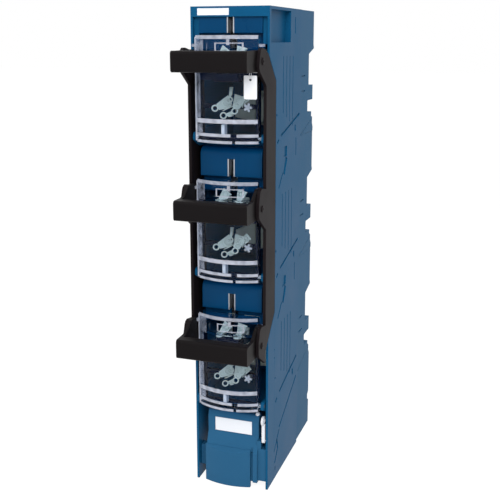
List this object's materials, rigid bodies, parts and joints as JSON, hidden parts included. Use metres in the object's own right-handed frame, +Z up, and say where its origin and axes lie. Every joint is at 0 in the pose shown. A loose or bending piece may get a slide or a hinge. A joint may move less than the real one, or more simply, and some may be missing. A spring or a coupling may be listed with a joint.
{
  "type": "strip fuse switch disconnector",
  "caption": "Vertical strip fuse switch disconnector for busbar mounting, with clear hinged fuse covers ganged by a frame with pull handles and a cable cover below.",
  "frame": {"origin": "centre of the middle busbar bolt hole, in the plane where the terminals rest on the busbars", "axes": "+X right as seen from the front, +Y into the busbars, +Z up along the strip"},
  "size_m": [0.107, 0.3065, 0.664],
  "materials": {
    "housing": "moulded blue, fine satin",
    "label": "white card",
    "spring_steel": "zinc plated sheet",
    "plated_steel": "zinc plated",
    "frame": "moulded glass-filled nylon",
    "white_nylon": "natural nylon",
    "contact_metal": "tin plated copper, dull",
    "clear_cover": "clear polycarbonate",
    "black_plastic": "moulded glass-filled nylon"
  },
  "bodies": {
    "housing": {"front_housing": "housing", "side_wall_right": "housing", "side_wall_left": "housing", "hinge_brackets": "housing", "header_label": "label", "jaw_springs": "spring_steel", "terminal_studs": "plated_steel", "phase_barriers": "housing", "hinge_pins": "plated_steel", "clip_pivot": "plated_steel", "pole_base_1": "housing", "busbar_terminal_1": "contact_metal", "arc_chute_1": "housing", "arc_plates_1": "spring_steel", "upper_contact_1": "contact_metal", "lower_contact_1": "contact_metal", "load_bar_1": "contact_metal", "pole_base_2": "housing", "busbar_terminal_2": "contact_metal", "arc_chute_2": "housing", "arc_plates_2": "spring_steel", "upper_contact_2": "contact_metal", "lower_contact_2": "contact_metal", "load_bar_2": "contact_metal", "pole_base_3": "housing", "busbar_terminal_3": "contact_metal", "arc_chute_3": "housing", "arc_plates_3": "spring_steel", "upper_contact_3": "contact_metal", "lower_contact_3": "contact_metal", "load_bar_3": "contact_metal"},
    "upper_fuse_cover": {"cover_1": "clear_cover", "fuse_carrier_1": "black_plastic", "claws_1": "contact_metal", "handle_1": "black_plastic", "cover_latch_1": "white_nylon", "carrier_stud_1": "plated_steel", "tag_tie": "white_nylon"},
    "middle_fuse_cover": {"cover_2": "clear_cover", "fuse_carrier_2": "black_plastic", "claws_2": "contact_metal", "handle_2": "black_plastic", "cover_latch_2": "white_nylon", "carrier_stud_2": "plated_steel"},
    "lower_fuse_cover": {"cover_3": "clear_cover", "fuse_carrier_3": "black_plastic", "claws_3": "contact_metal", "handle_3": "black_plastic", "cover_latch_3": "white_nylon", "carrier_stud_3": "plated_steel"},
    "gang_frame": {"rail_left": "frame", "rail_right": "frame", "rail_pins": "frame"},
    "cable_cover": {"terminal_cover": "housing", "terminal_label": "label", "seal_peg": "white_nylon"},
    "seal_clip": {"nylon_clip": "white_nylon"},
    "tag": {"info_tag": "label"}
  },
  "joints": [
    {"name": "middle_cover_hinge", "type": "hinge", "parent": "housing", "child": "middle_fuse_cover", "pos_m": [0, -0.204, -0.08], "axis": [1, 0, 0], "range_deg": [0, 60]},
    {"name": "upper_cover_hinge", "type": "hinge", "parent": "housing", "child": "upper_fuse_cover", "pos_m": [0, -0.204, 0.105], "axis": [1, 0, 0], "range_deg": [0, 60]},
    {"name": "lower_cover_hinge", "type": "hinge", "parent": "housing", "child": "lower_fuse_cover", "pos_m": [0, -0.204, -0.265], "axis": [1, 0, 0], "range_deg": [0, 60]},
    {"name": "gang_frame_pivot", "type": "hinge", "parent": "middle_fuse_cover", "child": "gang_frame", "pos_m": [0, -0.23, 0.0185], "axis": [1, 0, 0], "range_deg": [-60, 0]},
    {"name": "tag_hang", "type": "hinge", "parent": "upper_fuse_cover", "child": "tag", "pos_m": [0.0345, -0.238, 0.1865], "axis": [1, 0, 0], "range_deg": [-60, 0]},
    {"name": "cable_cover_slide", "type": "slide", "parent": "housing", "child": "cable_cover", "axis": [0, -1, 0], "range_m": [0, 0.06]},
    {"name": "seal_clip_pivot", "type": "hinge", "parent": "housing", "child": "seal_clip", "pos_m": [0.047, -0.2005, -0.318], "axis": [1, 0, 0], "range_deg": [0, 35]}
  ],
  "couplings": [
    {"joint": "upper_cover_hinge", "follows": "middle_cover_hinge", "ratio": 1},
    {"joint": "lower_cover_hinge", "follows": "middle_cover_hinge", "ratio": 1},
    {"joint": "gang_frame_pivot", "follows": "middle_cover_hinge", "ratio": -1},
    {"joint": "tag_hang", "follows": "middle_cover_hinge", "ratio": -1}
  ]
}
